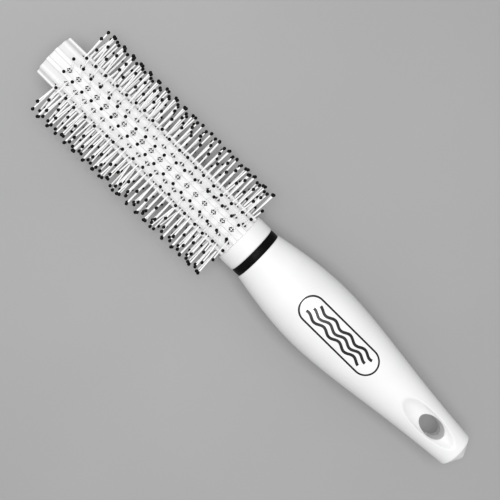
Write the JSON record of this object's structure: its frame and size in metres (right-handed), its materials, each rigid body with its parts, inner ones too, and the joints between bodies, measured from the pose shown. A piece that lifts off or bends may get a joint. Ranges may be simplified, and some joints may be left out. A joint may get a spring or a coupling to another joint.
{
  "type": "round barrel brush",
  "caption": "Round hair brush with a fluted plastic barrel, twelve rows of paired ball-tipped nylon bristles, and a waisted handle with an oval hang hole.",
  "frame": {"origin": "on the brush's axis, halfway between the tip of the barrel and the end of the handle", "axes": "+X along the axis from the barrel's tip towards the end of the handle, +Z out of one face of the hang hole, along the hole's own axis"},
  "size_m": [0.23, 0.0448, 0.0448],
  "materials": {
    "white_handle": "polished moulding",
    "white_barrel": "semi-gloss moulding",
    "black_rubber": "satin",
    "white_nylon": "drawn filament",
    "black_resin": "glossy bead",
    "anchor_metal": "plain",
    "inner_plastic": "as moulded"
  },
  "bodies": {
    "root": {"barrel": "white_barrel", "tip_plug": "white_barrel", "core_spindle": "inner_plastic", "collar": "white_barrel", "neck_ring": "black_rubber", "handle_shell": "white_handle", "handle_bush": "inner_plastic", "bristles_01": "white_nylon", "ball_tips_01": "black_resin", "tuft_anchors_01": "anchor_metal", "bristles_02": "white_nylon", "ball_tips_02": "black_resin", "tuft_anchors_02": "anchor_metal", "bristles_03": "white_nylon", "ball_tips_03": "black_resin", "tuft_anchors_03": "anchor_metal", "bristles_04": "white_nylon", "ball_tips_04": "black_resin", "tuft_anchors_04": "anchor_metal", "bristles_05": "white_nylon", "ball_tips_05": "black_resin", "tuft_anchors_05": "anchor_metal", "bristles_06": "white_nylon", "ball_tips_06": "black_resin", "tuft_anchors_06": "anchor_metal", "bristles_07": "white_nylon", "ball_tips_07": "black_resin", "tuft_anchors_07": "anchor_metal", "bristles_08": "white_nylon", "ball_tips_08": "black_resin", "tuft_anchors_08": "anchor_metal", "bristles_09": "white_nylon", "ball_tips_09": "black_resin", "tuft_anchors_09": "anchor_metal", "bristles_10": "white_nylon", "ball_tips_10": "black_resin", "tuft_anchors_10": "anchor_metal", "bristles_11": "white_nylon", "ball_tips_11": "black_resin", "tuft_anchors_11": "anchor_metal", "bristles_12": "white_nylon", "ball_tips_12": "black_resin", "tuft_anchors_12": "anchor_metal"}
  },
  "joints": []
}
